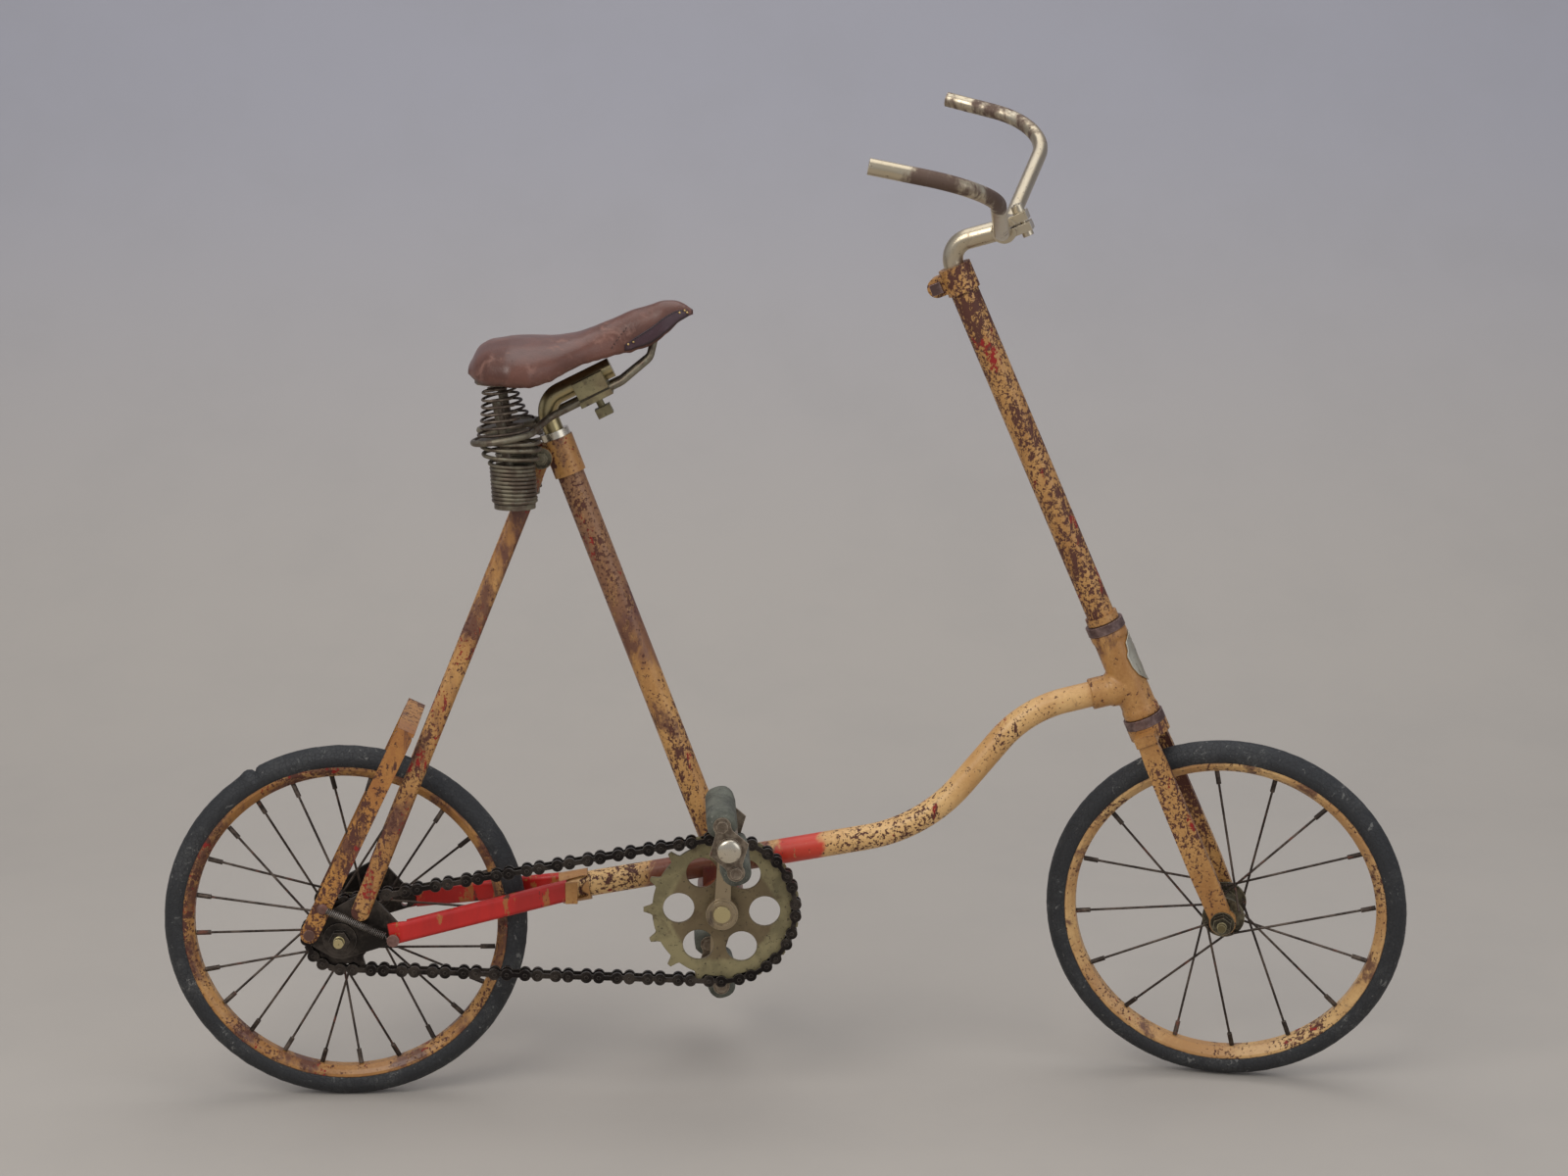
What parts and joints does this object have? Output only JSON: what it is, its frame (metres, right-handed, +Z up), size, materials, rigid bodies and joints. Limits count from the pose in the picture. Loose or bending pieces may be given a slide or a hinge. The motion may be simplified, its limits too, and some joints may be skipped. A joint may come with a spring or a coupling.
{
  "type": "trick bicycle",
  "caption": "Small vintage circus trick bicycle with twelve-inch wheels, tall riser fork, swept handlebar, sprung leather saddle, skip-tooth chain drive and rear stand.",
  "frame": {"origin": "centre of the overall box, on the ground under the tyres", "axes": "+X forward from the rear wheel to the front wheel, +Y to the rider's left, +Z up"},
  "size_m": [1.0295, 0.3966, 0.8236],
  "materials": {
    "gold_paint": "worn gold enamel, chipped to rust",
    "red_paint": "chipped red enamel",
    "brown_paint": "worn brown enamel",
    "nickel": "tarnished nickel plate",
    "dark_steel": "oily dark steel",
    "rusty_steel": "rusted steel",
    "worn_steel": "worn bright steel",
    "brass_plate": "dull olive brass plating",
    "tyre_rubber": "old dark grey rubber",
    "pedal_rubber": "greenish grey rubber",
    "saddle_leather": "scuffed reddish-brown leather",
    "spring_steel": "greenish tarnished wire",
    "badge_metal": "embossed plain silver sheet"
  },
  "bodies": {
    "frame": {"main_tube": "gold_paint", "head_lug": "gold_paint", "head_badge": "badge_metal", "headset_cups": "dark_steel", "seat_tube": "brown_paint", "seat_lug": "gold_paint", "seat_bolt": "worn_steel", "seat_collar": "brass_plate", "rear_yoke": "gold_paint", "chain_stays": "red_paint", "seat_stay_right": "gold_paint", "seat_stay_left": "gold_paint", "dropout_right": "dark_steel", "dropout_left": "dark_steel", "rear_axle": "brass_plate", "rear_axle_nuts": "worn_steel", "rear_cones": "worn_steel", "stand_bolts": "rusty_steel", "bottom_bracket": "gold_paint", "crank_bearings": "worn_steel", "chain_plates": "dark_steel", "chain_rollers": "dark_steel"},
    "fork": {"riser_tube": "gold_paint", "riser_clamp": "gold_paint", "riser_bolt": "worn_steel", "fork_crown": "gold_paint", "fork_blades": "gold_paint", "front_axle": "worn_steel", "front_axle_nuts": "worn_steel", "front_cones": "worn_steel"},
    "stem": {"stem": "nickel", "stem_bolt": "worn_steel"},
    "handlebar": {"handlebar": "nickel"},
    "front_wheel": {"front_tyre": "tyre_rubber", "front_rim": "rusty_steel", "front_hub": "worn_steel", "front_spokes": "rusty_steel"},
    "rear_wheel": {"rear_tyre": "tyre_rubber", "rear_rim": "rusty_steel", "rear_hub": "worn_steel", "rear_spokes": "rusty_steel", "rear_sprocket": "worn_steel"},
    "crank": {"chainring": "brass_plate", "crank_axle": "worn_steel", "crank_right": "nickel", "crank_left": "nickel", "pedal_spindles": "worn_steel"},
    "pedal_right": {"pedal_cage_right": "rusty_steel", "pedal_blocks_right": "pedal_rubber"},
    "pedal_left": {"pedal_cage_left": "rusty_steel", "pedal_blocks_left": "pedal_rubber"},
    "seat_post": {"seat_post": "nickel"},
    "saddle_frame": {"saddle_clamp": "brass_plate", "saddle_rails": "spring_steel", "saddle_coils": "dark_steel", "saddle_springs": "spring_steel", "saddle_plates": "rusty_steel"},
    "saddle_top": {"saddle_top": "saddle_leather"},
    "stand": {"stand": "gold_paint", "stand_spring": "worn_steel"}
  },
  "joints": [
    {"name": "steering", "type": "hinge", "parent": "frame", "child": "fork", "pos_m": [0.36874, 0.00391, 0.15], "axis": [-0.3971, 0, 0.9178], "continuous": true},
    {"name": "stem_height", "type": "slide", "parent": "fork", "child": "stem", "axis": [-0.3971, 0, 0.9178], "range_m": [0, 0.03]},
    {"name": "bar_tilt", "type": "hinge", "parent": "stem", "child": "handlebar", "pos_m": [0.17478, -0.00903, 0.71983], "axis": [0.2375, 0.9659, 0.1028], "range_deg": [-20, 20]},
    {"name": "front_wheel_spin", "type": "hinge", "parent": "fork", "child": "front_wheel", "pos_m": [0.36874, 0.00391, 0.15], "axis": [0.2375, 0.9659, 0.1028], "continuous": true},
    {"name": "rear_wheel_spin", "type": "hinge", "parent": "frame", "child": "rear_wheel", "pos_m": [-0.36476, 0.00391, 0.15], "axis": [0, 1, 0], "continuous": true, "deforming": ["chain_plates", "chain_rollers"]},
    {"name": "crank_spin", "type": "hinge", "parent": "frame", "child": "crank", "pos_m": [-0.05426, 0.00391, 0.1675], "axis": [0, 1, 0], "continuous": true},
    {"name": "pedal_right_spin", "type": "hinge", "parent": "crank", "child": "pedal_right", "pos_m": [-0.05007, 0.00391, 0.24739], "axis": [0, 1, 0], "continuous": true},
    {"name": "pedal_left_spin", "type": "hinge", "parent": "crank", "child": "pedal_left", "pos_m": [-0.05844, 0.00391, 0.08761], "axis": [0, 1, 0], "continuous": true},
    {"name": "seat_height", "type": "slide", "parent": "frame", "child": "seat_post", "axis": [-0.3469, 0, 0.9379], "range_m": [0, 0.06]},
    {"name": "saddle_slide", "type": "slide", "parent": "seat_post", "child": "saddle_frame", "axis": [0.8988, 0, 0.4384], "range_m": [-0.004, 0.005]},
    {"name": "saddle_flex", "type": "hinge", "parent": "saddle_frame", "child": "saddle_top", "pos_m": [-0.11076, 0.00391, 0.63], "axis": [0, -1, 0], "range_deg": [0, 2], "stiffness_Nm_per_rad": 60, "springref_deg": -1.15, "deforming": ["saddle_springs"]},
    {"name": "stand_swing", "type": "hinge", "parent": "frame", "child": "stand", "pos_m": [-0.38906, 0.00391, 0.1548], "axis": [0, -1, 0], "range_deg": [0, 190], "deforming": ["stand_spring"]}
  ],
  "couplings": [
    {"joint": "crank_spin", "follows": "rear_wheel_spin", "ratio": 0.46667}
  ]
}
